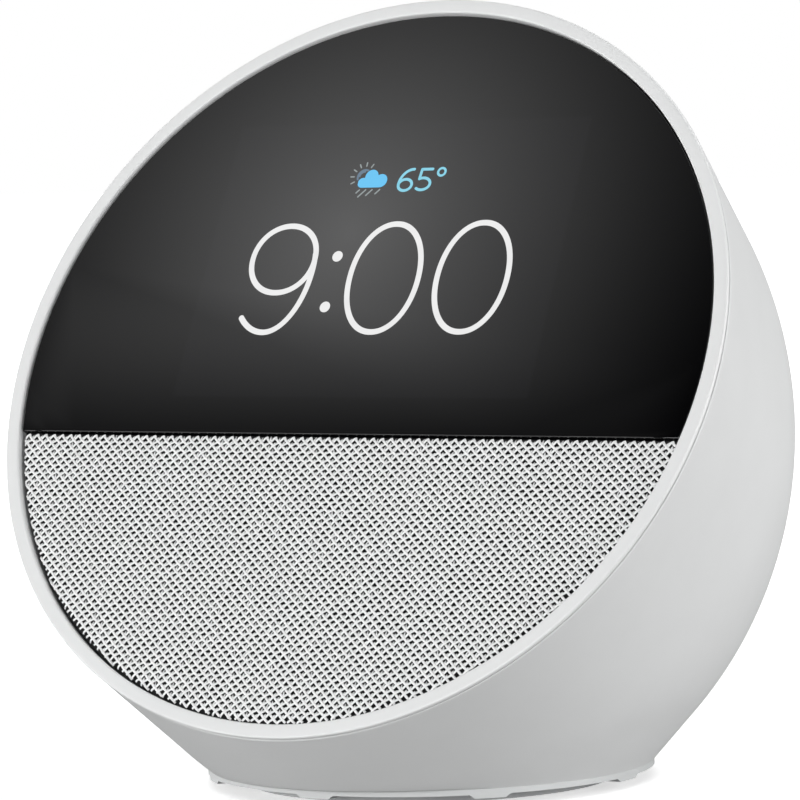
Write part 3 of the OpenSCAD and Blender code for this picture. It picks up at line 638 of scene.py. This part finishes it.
def stroke(points, width, closed=False, w=LIT_W, ends=6):
    """Flat line of even width along points, with round ends."""
    narrowest = 0.004
    line = np.array(points[:-1] if closed else points)
    if closed:
        along = np.roll(line, -1, 0) - np.roll(line, 1, 0)
    else:
        along = np.gradient(line, axis=0)
    along /= np.linalg.norm(along, axis=1, keepdims=True)
    half = [width / 2] * len(line)
    if not closed:
        turns = [math.pi / 2 * (1 - i / ends) for i in range(ends)]
        first = [line[0] - along[0] * width / 2 * math.sin(t) for t in turns]
        last = [line[-1] + along[-1] * width / 2 * math.sin(t) for t in reversed(turns)]
        caps = [max(narrowest, width / 2 * math.cos(t)) for t in turns]
        line = np.array(first + list(line) + last)
        along = np.array([along[0]] * ends + list(along) + [along[-1]] * ends)
        half = caps + half + caps[::-1]
    side = np.stack([-along[:, 1], along[:, 0]], 1) * np.array(half)[:, None]
    loops = []
    for p, s in zip(line, side):
        loops.append([(*(p + s), w), (*(p - s), w), (*(p - s), w - LIT_T), (*(p + s), w - LIT_T)])
    return loft(loops, ring=closed)


def dot(centre, radius):
    """Flat round spot."""
    return loft([circle(radius, w, 48, centre) for w in (LIT_W, LIT_W - LIT_T)])


def clock_digits():
    """Nine o'clock in light, even strokes."""
    width = 0.86
    zero = dict(across=5.58, up=8.38, start=0, end=360, steps=160, power=2.08)
    nine_bowl = stroke(arc((-15.88, 15.55), 5.19, 5.25, 0, 360, 128, 2.06), width, True)
    stem = arc((-16.3, 14.0), 5.67, 9.9, 14, -90, 60)
    tail = arc((-16.3, 14.0), 6.56, 9.9, -90, -129.5, 30)
    nine_tail = stroke(stem + tail[1:], width)
    zeros = [stroke(arc((x, 12.5), **zero), width, True) for x in (1.4, 15.57)]
    colon = [dot((-7.06, v), 0.83) for v in (15.93, 8.03)]
    digits = piece("clock_digits", joined(nine_bowl, nine_tail, *zeros, *colon), ON_FACE, LIT_WHITE)


def temperature():
    """Two digits and a degree ring, to the right of the weather symbol."""
    width = 0.43
    top = 29.46
    six = [
        stroke(arc((1.12, 27.04), 1.08, 0.89, 0, 360, 48), width, True),
        stroke(arc((2.09, 27.09), 2.08, 2.41, 90, 180, 24), width),
    ]
    five = [
        stroke([(5.09, top), (4.3, top), (3.4, top)], width),
        stroke([(3.38, top), (3.32, 28.7), (3.26, 27.95)], width),
        stroke(arc((3.91, 27.15), 1.24, 0.94, 121, -133, 32), width),
    ]
    degree = stroke(arc((6.64, 28.99), 0.59, 0.59, 0, 360, 32), 0.36, True)
    piece("temperature_digits", joined(*six, *five, degree), ON_FACE, LIT_CYAN)


def slab(edges, top):
    """Flat shape between pairs of edge points."""
    low = top - LIT_T
    return loft([[(*a, top), (*b, top), (*b, low), (*a, low)] for a, b in edges])


def weather_symbol():
    """Sun behind a cloud, with slanting rain."""
    top = -GLASS_DEPTH + 0.014
    cloud_low, cloud_left, cloud_wide, cloud_steps = 26.74, -6.75, 4.76, 96
    lobes = [((-5.97, 27.52), 0.78), ((-4.68, 28.5), 1.06), ((-3.03, 27.8), 1.04)]
    edges = []
    for i in range(cloud_steps + 1):
        u = cloud_left + cloud_wide * i / cloud_steps
        near = [(c[1], math.sqrt(r * r - (u - c[0]) ** 2)) for c, r in lobes if abs(u - c[0]) < r]
        if near:
            between = lobes[0][0][0] < u < lobes[-1][0][0]
            low = cloud_low if between else max(cloud_low, min(v - h for v, h in near))
            edges.append(((u, max(v + h for v, h in near)), (u, low)))
    piece("cloud_symbol", slab(edges, top), ON_FACE, LIT_BLUE)

    sun, sun_r, sun_steps = (-5.94, 28.5), 1.2, 40
    edges = []
    for i in range(sun_steps + 1):
        t = math.radians(58 + 152 * i / sun_steps)
        inner = 0.62 if 0.15 < i / sun_steps < 0.85 else 0.9
        edges.append([(sun[0] + r * math.cos(t), sun[1] + r * math.sin(t)) for r in (sun_r, inner)])
    piece("sun_symbol", slab(edges, top), ON_FACE, LIT_DIM_BLUE)

    lines = []
    for angle in range(60, 211, 30):
        c, s = math.cos(math.radians(angle)), math.sin(math.radians(angle))
        lines.append(stroke([(sun[0] + r * c, sun[1] + r * s) for r in (1.65, 1.9, 2.2)], 0.2))
    rain_top = 26.38
    for x, long in ((-6.2, 0.62), (-5.15, 1.5), (-4.1, 1.2), (-2.85, 0.9)):
        slope = Vector((-0.68, -0.73)) * long
        drop = [(x + slope.x * part, rain_top + slope.y * part) for part in (0, 0.5, 1)]
        lines.append(stroke(drop, 0.22))
    piece("rays_and_rain", joined(*lines), ON_FACE, LIT_GREY)


clock_digits()
temperature()
weather_symbol()


# ---------------------------------------------------------------- grille cloth
HOLE_PITCH = 1.44
ROW_PITCH = 0.617
CLOTH_TOP = SPLIT_V - EDGE_GAP
CLOTH_MIDDLE = (CLOTH_TOP - GLASS_R) / 2
SOCKET_KINDS = {
    float: "NodeSocketFloat",
    int: "NodeSocketInt",
    bpy.types.Material: "NodeSocketMaterial",
    bpy.types.Object: "NodeSocketObject",
}


def started_tree(name, values):
    """Node group with an input for each value. Returns it, the inputs' identifiers and their sockets."""
    tree = bpy.data.node_groups.new(name, "GeometryNodeTree")
    identifiers = {}
    for key, value in values.items():
        label = key.replace("_", " ")
        socket = tree.interface.new_socket(label, in_out="INPUT", socket_type=SOCKET_KINDS[type(value)])
        identifiers[key] = socket.identifier
    tree.interface.new_socket("Geometry", in_out="OUTPUT", socket_type="NodeSocketGeometry")
    group = add(tree, "NodeGroupInput").outputs
    return tree, identifiers, {key: group[key.replace("_", " ")] for key in values}


def run_tree(name, tree, identifiers, values):
    """Runs a node group on an empty mesh and returns the plain mesh it makes."""
    holder = bpy.data.objects.new(name, bpy.data.meshes.new(name))
    bpy.context.scene.collection.objects.link(holder)
    modifier = holder.modifiers.new(name, "NODES")
    modifier.node_group = tree
    for key, value in values.items():
        modifier[identifiers[key]] = value
    holder.update_tag()
    bpy.context.view_layer.update()
    mesh = bpy.data.meshes.new_from_object(holder.evaluated_get(bpy.context.evaluated_depsgraph_get()))
    holder.modifiers.remove(modifier)
    bpy.data.objects.remove(holder)
    return mesh


def edge_distance(tree, place, radius, top):
    """How far a point of the cloth is from the cloth's edge, and the point's separate parts."""
    parts = add(tree, "ShaderNodeSeparateXYZ", {0: place}).outputs
    flat = add(tree, "ShaderNodeCombineXYZ", {0: parts[0], 1: parts[1]})
    out = add(tree, "ShaderNodeVectorMath", {0: flat}, operation="LENGTH").outputs["Value"]
    inside = add(tree, "ShaderNodeMath", {0: radius, 1: out}, operation="SUBTRACT")
    below = add(tree, "ShaderNodeMath", {0: top, 1: parts[1]}, operation="SUBTRACT")
    return add(tree, "ShaderNodeMath", {0: inside, 1: below}, operation="MINIMUM"), parts


def thread_tree(values):
    """Parallel threads that weave over and under, stop at the cloth's edge and roll down round it."""
    tree, identifiers, get = started_tree("woven_threads", values)
    half_pitch = add(tree, "ShaderNodeMath", {0: get["Hole_pitch"], 1: 0.5}, operation="MULTIPLY")
    rise = add(tree, "ShaderNodeMath", {0: get["Row_pitch"], 1: get["Side"]}, operation="MULTIPLY")
    fall = add(tree, "ShaderNodeMath", {0: rise, 1: -1.0}, operation="MULTIPLY")
    step = add(tree, "ShaderNodeCombineXYZ", {0: half_pitch, 1: fall})
    run = add(tree, "ShaderNodeCombineXYZ", {0: half_pitch, 1: rise})
    middle = add(tree, "ShaderNodeCombineXYZ", {0: 0.0, 1: get["Middle"]})
    ahead = add(tree, "ShaderNodeMath", {0: get["Threads"], 1: 0.5}, operation="MULTIPLY")
    behind = add(tree, "ShaderNodeMath", {0: ahead, 1: -1.0}, operation="MULTIPLY")

    # one straight line at each step of a row, cut to the cloth's outline
    first = add(tree, "ShaderNodeVectorMath", {0: step, "Scale": behind}, operation="SCALE")
    first = add(tree, "ShaderNodeVectorMath", {0: first, 1: middle})
    row = {"Count": get["Threads"], "Start Location": first, "Offset": step}
    starts = add(tree, "GeometryNodeMeshLine", row)
    start = add(tree, "ShaderNodeVectorMath", {0: run, "Scale": behind}, operation="SCALE")
    end = add(tree, "ShaderNodeVectorMath", {0: run, "Scale": ahead}, operation="SCALE")
    line = add(tree, "GeometryNodeCurvePrimitiveLine", {"Start": start, "End": end})
    threads = add(tree, "GeometryNodeInstanceOnPoints", {"Points": starts, "Instance": line})
    real = add(tree, "GeometryNodeRealizeInstances", {0: threads})
    sampled = {"Curve": real, "Length": get["Sample_length"]}
    fine = add(tree, "GeometryNodeResampleCurve", sampled, mode="LENGTH")
    place = add(tree, "GeometryNodeInputPosition")
    edge, parts = edge_distance(tree, place, get["Radius"], get["Top"])
    gone = add(tree, "FunctionNodeCompare", {0: edge, 1: 0.0}, data_type="FLOAT", operation="LESS_THAN")
    cut = {"Geometry": fine, "Selection": gone}
    kept = add(tree, "GeometryNodeDeleteGeometry", cut, domain="POINT")

    # over and under, once for each hole
    turn = add(tree, "ShaderNodeMath", {0: parts[0], 1: 2 * math.pi}, operation="MULTIPLY")
    turn = add(tree, "ShaderNodeMath", {0: turn, 1: get["Hole_pitch"]}, operation="DIVIDE")
    wave = add(tree, "ShaderNodeMath", {0: turn}, operation="COSINE")
    wave = add(tree, "ShaderNodeMath", {0: wave, 1: get["Swing"]}, operation="MULTIPLY")
    wave = add(tree, "ShaderNodeMath", {0: wave, 1: get["Side"]}, operation="MULTIPLY")

    # quarter of a circle down at the edge
    near = add(tree, "ShaderNodeMath", {0: edge, 1: get["Roll"]}, operation="MINIMUM")
    into = add(tree, "ShaderNodeMath", {0: get["Roll"], 1: near}, operation="SUBTRACT")
    roll_squared = add(tree, "ShaderNodeMath", {0: get["Roll"], 1: 2.0}, operation="POWER")
    into_squared = add(tree, "ShaderNodeMath", {0: into, 1: 2.0}, operation="POWER")
    chord = add(tree, "ShaderNodeMath", {0: roll_squared, 1: into_squared}, operation="SUBTRACT")
    chord = add(tree, "ShaderNodeMath", {0: chord}, operation="SQRT")
    drop = add(tree, "ShaderNodeMath", {0: get["Roll"], 1: chord}, operation="SUBTRACT")
    lift = add(tree, "ShaderNodeMath", {0: wave, 1: drop}, operation="SUBTRACT")

    # a little off the straight, as real yarn is
    noise = {"Vector": place, "Scale": get["Wander_scale"], "Detail": 1.0}
    wander = add(tree, "ShaderNodeTexNoise", noise).outputs["Color"]
    wander = add(tree, "ShaderNodeVectorMath", {0: wander, 1: (-0.5, -0.5, -0.5)})
    wander = add(tree, "ShaderNodeVectorMath", {0: wander, "Scale": get["Wander"]}, operation="SCALE")
    lift = add(tree, "ShaderNodeCombineXYZ", {2: lift})
    move = add(tree, "ShaderNodeVectorMath", {0: wander, 1: lift})
    woven = add(tree, "GeometryNodeSetPosition", {"Geometry": kept, "Offset": move})

    # swept with an oval section
    level = add(tree, "GeometryNodeSetCurveNormal", {"Curve": woven}, mode="Z_UP")
    section = {"Resolution": get["Sides"], "Radius": get["Thread_half"]}
    profile = add(tree, "GeometryNodeCurvePrimitiveCircle", section)
    oval = add(tree, "GeometryNodeTransform", {"Geometry": profile, "Scale": (1.0, 0.62, 1.0)})
    sweep = {"Curve": level, "Profile Curve": oval, "Fill Caps": True}
    swept = add(tree, "GeometryNodeCurveToMesh", sweep)
    painted = add(tree, "GeometryNodeSetMaterial", {"Geometry": swept, "Material": get["Material"]})
    add(tree, "NodeGroupOutput", {0: painted})
    return tree, identifiers


def loop_tree(values):
    """One short knit loop in each hole of the lattice, each a little different."""
    tree, identifiers, get = started_tree("knit_loops", values)
    across = add(tree, "ShaderNodeMath", {0: get["Columns"], 1: 1.0}, operation="SUBTRACT")
    wide = add(tree, "ShaderNodeMath", {0: get["Hole_pitch"], 1: across}, operation="MULTIPLY")
    down = add(tree, "ShaderNodeMath", {0: get["Rows"], 1: 1.0}, operation="SUBTRACT")
    tall = add(tree, "ShaderNodeMath", {0: get["Row_pitch"], 1: down}, operation="MULTIPLY")
    sizes = {"Size X": wide, "Size Y": tall, "Vertices X": get["Columns"], "Vertices Y": get["Rows"]}
    grid = add(tree, "GeometryNodeMeshGrid", sizes)

    # every other row moves aside by half a hole
    index = add(tree, "GeometryNodeInputIndex")
    row = add(tree, "ShaderNodeMath", {0: index, 1: get["Rows"]}, operation="MODULO")
    odd = add(tree, "ShaderNodeMath", {0: row, 1: 2.0}, operation="MODULO")
    phase = add(tree, "ShaderNodeMath", {0: odd, 1: get["Phase"]}, operation="ADD")
    half_pitch = add(tree, "ShaderNodeMath", {0: get["Hole_pitch"], 1: 0.5}, operation="MULTIPLY")
    aside = add(tree, "ShaderNodeMath", {0: phase, 1: half_pitch}, operation="MULTIPLY")
    shift = add(tree, "ShaderNodeCombineXYZ", {0: aside, 1: get["Middle"]})
    shifted = add(tree, "GeometryNodeSetPosition", {"Geometry": grid, "Offset": shift})
    place = add(tree, "GeometryNodeInputPosition")
    edge = edge_distance(tree, place, get["Radius"], get["Top"])[0]
    compared = {0: edge, 1: get["Edge_margin"]}
    gone = add(tree, "FunctionNodeCompare", compared, data_type="FLOAT", operation="LESS_THAN")
    cut = {"Geometry": shifted, "Selection": gone}
    kept = add(tree, "GeometryNodeDeleteGeometry", cut, domain="POINT")

    source = add(tree, "GeometryNodeObjectInfo", {"Object": get["Loop"]}).outputs["Geometry"]
    leans = {"Min": (-0.25, -0.25, -0.45), "Max": (0.25, 0.25, 0.3), "Seed": 3}
    lean = add(tree, "FunctionNodeRandomValue", leans, data_type="FLOAT_VECTOR")
    sizes = {"Min": (0.8, 0.8, 0.8), "Max": (1.15, 1.2, 1.1), "Seed": 5}
    size = add(tree, "FunctionNodeRandomValue", sizes, data_type="FLOAT_VECTOR")
    placed = {"Points": kept, "Instance": source, "Rotation": lean, "Scale": size}
    loops = add(tree, "GeometryNodeInstanceOnPoints", placed)
    real = add(tree, "GeometryNodeRealizeInstances", {0: loops})
    painted = add(tree, "GeometryNodeSetMaterial", {"Geometry": real, "Material": get["Material"]})
    add(tree, "NodeGroupOutput", {0: painted})
    return tree, identifiers


def knit_loop():
    """Small hanging loop: rises from behind the upper crossing and ends near the hole's middle."""
    sides, squash = 5, 0.3
    path = [
        (0.0, 0.46, -0.26, 0.07),
        (0.0, 0.3, -0.17, 0.1),
        (0.01, 0.12, -0.06, 0.115),
        (0.02, -0.04, -0.03, 0.115),
        (0.02, -0.14, -0.08, 0.06),
    ]
    loops = []
    for x, y, z, r in path:
        across = r * np.cos(full_turn(sides))
        up = r * np.sin(full_turn(sides))
        loops.append(list(zip(x + across, y + squash * up, z + up)))
    vertices, faces = loft(loops)
    mesh = bpy.data.meshes.new("knit_loop")
    mesh.from_pydata(vertices, [], faces)
    return linked("knit_loop", mesh)


def cloth_layer(name, made, values):
    """One layer of the cloth, from a node group that is ready to run."""
    tree, identifiers = made
    mesh = run_tree(name, tree, identifiers, values)
    yarn_depth = CLOTH_DEPTH + 0.26
    mesh.transform(ON_FACE @ Matrix.Translation((0, 0, -yarn_depth)))
    return finished("cloth_" + name, mesh, FINISHES["grille_cloth"], sharp=80)


def grille_cloth():
    """Open knit over a dark scrim: two families of threads and a loop in each hole."""
    lattice = dict(
        Hole_pitch=HOLE_PITCH,
        Row_pitch=ROW_PITCH,
        Middle=CLOTH_MIDDLE,
        Radius=GLASS_R - 0.1,
        Top=CLOTH_TOP + 0.12,
        Material=FINISHES["grille_cloth"],
    )
    woven = dict(lattice, Threads=116, Sample_length=0.237, Swing=0.1, Roll=0.5, Thread_half=0.185, Sides=6)
    for name, side in (("rising_threads", 1.0), ("falling_threads", -1.0)):
        values = dict(woven, Side=side, Wander=0.07, Wander_scale=0.9)
        cloth_layer(name, thread_tree(values), values)
    source = knit_loop()
    values = dict(lattice, Columns=78, Rows=72, Phase=1.0, Edge_margin=0.5, Loop=source)
    cloth_layer("knit_loops", loop_tree(values), values)
    bpy.data.objects.remove(source)
    scrim_inset, scrim_t = 0.55, 0.08
    back = CLOTH_DEPTH + CLOTH_T
    outline = []
    for lift in (scrim_t, 0.0):
        outline.append(segment(GLASS_R - scrim_inset, CLOTH_TOP - scrim_inset, -back + lift, above=False))
    scrim = piece("cloth_scrim", loft(outline), ON_FACE, SCRIM)
    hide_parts("grille_cloth")


grille_cloth()


# ---------------------------------------------------------------- buttons
SIGN_LIFT = 0.012
BOLD, FINE = 0.32, 0.28


def cap_height(x):
    """Height up the face of a button's top, which follows the body's curve."""
    return math.sqrt(BUTTON_TOP**2 - x * x)


def button_cap(name, node, body, x0, glyph):
    """Round cap with a soft edge, its skirt, and a printed sign."""
    place = ON_FACE @ Matrix.Translation((0, 0, -BUTTON_DEPTH))
    edge, skirt, count = 0.35, 5.2, 96
    rings = [(r, 0.0) for r in (0.3, 1.2, 2.1, 3.0, 3.6, BUTTON_R - edge - 0.15)]
    rings += [(BUTTON_R - inset, drop) for inset, drop in quarter_round(edge)]
    loops = []
    for r, drop in rings:
        loop = []
        for a in full_turn(count):
            x = x0 + r * math.cos(a)
            loop.append((x, cap_height(x) - drop, -r * math.sin(a)))
        loops.append(loop)
    foot = BUTTON_TOP - skirt
    loops.append([(x0 + BUTTON_R * math.cos(a), foot, -BUTTON_R * math.sin(a)) for a in full_turn(count)])
    cap = piece(name, loft(loops), place, FINISHES["button_plastic"], body)
    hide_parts(node)
    vertices, faces = glyph
    raised = [(x0 + u, cap_height(x0 + u) + SIGN_LIFT + w, -v) for u, v, w in vertices]
    sign = piece(name + "_sign", (raised, faces), place, GLYPH_PRINT, body)


def sign_line(a, b, width=BOLD):
    """Straight line of a printed sign."""
    return stroke([a, ((a[0] + b[0]) / 2, (a[1] + b[1]) / 2), b], width, w=0.0)


def button_signs():
    """Plus, crossed-out microphone and minus."""
    minus = sign_line((-1.2, 0), (1.2, 0))
    plus = joined(minus, sign_line((0, -1.2), (0, 1.2)))
    capsule = arc((0, 0.85), 0.55, 0.55, 0, 180, 16) + arc((0, -0.05), 0.55, 0.55, 180, 360, 16)
    cup = arc((0, 0.0), 1.0, 1.05, 180, 360, 24)
    mic = joined(
        stroke(capsule + capsule[:1], FINE, True, 0.0),
        stroke(cup, FINE, False, 0.0),
        sign_line((0, -1.1), (0, -1.6), FINE),
        sign_line((-1.5, 1.55), (1.5, -1.55), FINE),
    )
    return plus, mic, minus


plus, mic, minus = button_signs()
button_cap("volume_up_cap", "volume_up_button", "volume_up", BUTTON_PITCH, plus)
button_cap("mic_mute_cap", "mic_mute_button", "mic_mute", 0.0, mic)
button_cap("volume_down_cap", "volume_down_button", "volume_down", -BUTTON_PITCH, minus)


# ---------------------------------------------------------------- floor, air and lights
LIT_MIDDLE = Vector((0, 0, 0.055))


def square(name, half, height=0.0):
    """Flat square that faces up."""
    mesh = bpy.data.meshes.new(name)
    corners = [(-half, -half, height), (half, -half, height), (half, half, height), (-half, half, height)]
    mesh.from_pydata(corners, [], [(0, 1, 2, 3)])
    return linked(name, mesh)


def turned_to(obj, place, way):
    """Moves an object to a place and turns its +Z side along a direction."""
    obj.location = place
    obj.rotation_mode = "QUATERNION"
    obj.rotation_quaternion = way.to_track_quat("Z", "Y")


def studio():
    """Pale floor that runs out of sight, and pale air behind the object. The floor is lit and shaded copies of one
    material: white to the camera and grey to bounced light. It also glows to the camera with painted light that is
    weaker near the object, a painted pool of shade round it.
    """
    floor = square("studio_floor", 9, -0.02 * MM)
    material, tree, place = new_material("floor_painted_glow")
    white = linear("#FFFFFF")
    seen = add(tree, "ShaderNodeLightPath").outputs["Is Camera Ray"]
    # painted light: the floor is white to the camera and grey to the light that bounces off it
    tone = add(tree, "ShaderNodeMix", {0: seen, 6: linear("#A0A0A0"), 7: white}, data_type="RGBA")
    # painted glow that only the camera sees, weaker near the object: a painted pool of shade round it
    near = add(tree, "ShaderNodeTexGradient", {"Vector": place}, gradient_type="SPHERICAL").outputs[1]
    glow = add(tree, "ShaderNodeMapRange", {"Value": near, "To Min": 1.4, "To Max": 0.5})
    glow = add(tree, "ShaderNodeMath", {0: glow, 1: seen}, operation="MULTIPLY")
    matt = {"Roughness": 0.9, "Specular IOR Level": 0.0}
    surfaced(
        material,
        {**matt, "Base Color": tone.outputs[2], "Emission Color": white, "Emission Strength": glow},
    )
    floor.data.materials.append(material)
    world = bpy.data.worlds.new("studio_air")
    bpy.context.scene.world = world
    world.use_nodes = True
    tree = world.node_tree
    tree.nodes.clear()
    seen = add(tree, "ShaderNodeLightPath").outputs["Is Camera Ray"]
    strength = add(tree, "ShaderNodeMapRange", {"Value": seen, "To Min": 0.08, "To Max": 1.0})
    air = add(tree, "ShaderNodeBackground", {"Color": white, "Strength": strength})
    add(tree, "ShaderNodeOutputWorld", {"Surface": air})
    bpy.context.scene.view_settings.view_transform = "Standard"


def softbox(name, azimuth, height, distance, size, power):
    """Square area light that looks at the middle of the object."""
    a, h = math.radians(azimuth), math.radians(height)
    way = Vector((math.sin(a) * math.cos(h), -math.cos(a) * math.cos(h), math.sin(h)))
    data = bpy.data.lights.new(name, "AREA")
    data.shape = "SQUARE"
    data.size = size
    data.energy = power
    turned_to(linked(name, data), LIT_MIDDLE + way * distance, way)


def glow_card(u, v, distance, size, peak):
    """Soft round glow that the glass mirrors to the viewer around one of its points."""
    point = (FACE_CENTRE + ACROSS * u + UP * v) * MM
    viewer = bpy.context.scene.camera.matrix_world.translation
    mirrored = viewer - OUT * (2 * (viewer - point).dot(OUT))
    way = (point - mirrored).normalized()
    half = size / 2
    card = square("glow_card", half)
    turned_to(card, point + way * distance, -way)
    material, tree, place = new_material("glow_on_cloth")
    scaled = add(tree, "ShaderNodeMapping", {"Vector": place, "Scale": (1 / half, 1 / half, 1 / half)})
    fall = add(tree, "ShaderNodeTexGradient", {"Vector": scaled}, gradient_type="QUADRATIC_SPHERE").outputs[1]
    strength = add(tree, "ShaderNodeMapRange", {"Value": fall, "To Min": 0.0, "To Max": peak})
    light = add(tree, "ShaderNodeEmission", {"Strength": strength})
    add(tree, "ShaderNodeOutputMaterial", {"Surface": light})
    card.data.materials.append(material)
    card.visible_camera = False


studio()
glow_card(-20, 44, 1.0, 0.74, 2.3)
softbox("behind_high", 180, 55, 1.2, 0.8, 6.2)
softbox("front_left", 5, 4, 1.3, 0.5, 8.2)
softbox("front_right", 85, 6, 1.3, 0.5, 7.2)
softbox("front", 31, 0, 1.4, 0.5, 1.7)
softbox("left", -60, 3, 1.2, 0.5, 4.2)
softbox("left_back", -112, 3, 1.2, 0.6, 6.0)
softbox("left_low", -30, 2, 1.2, 0.5, 5.8)
softbox("right_low", 120, 12, 1.2, 0.7, 6.2)
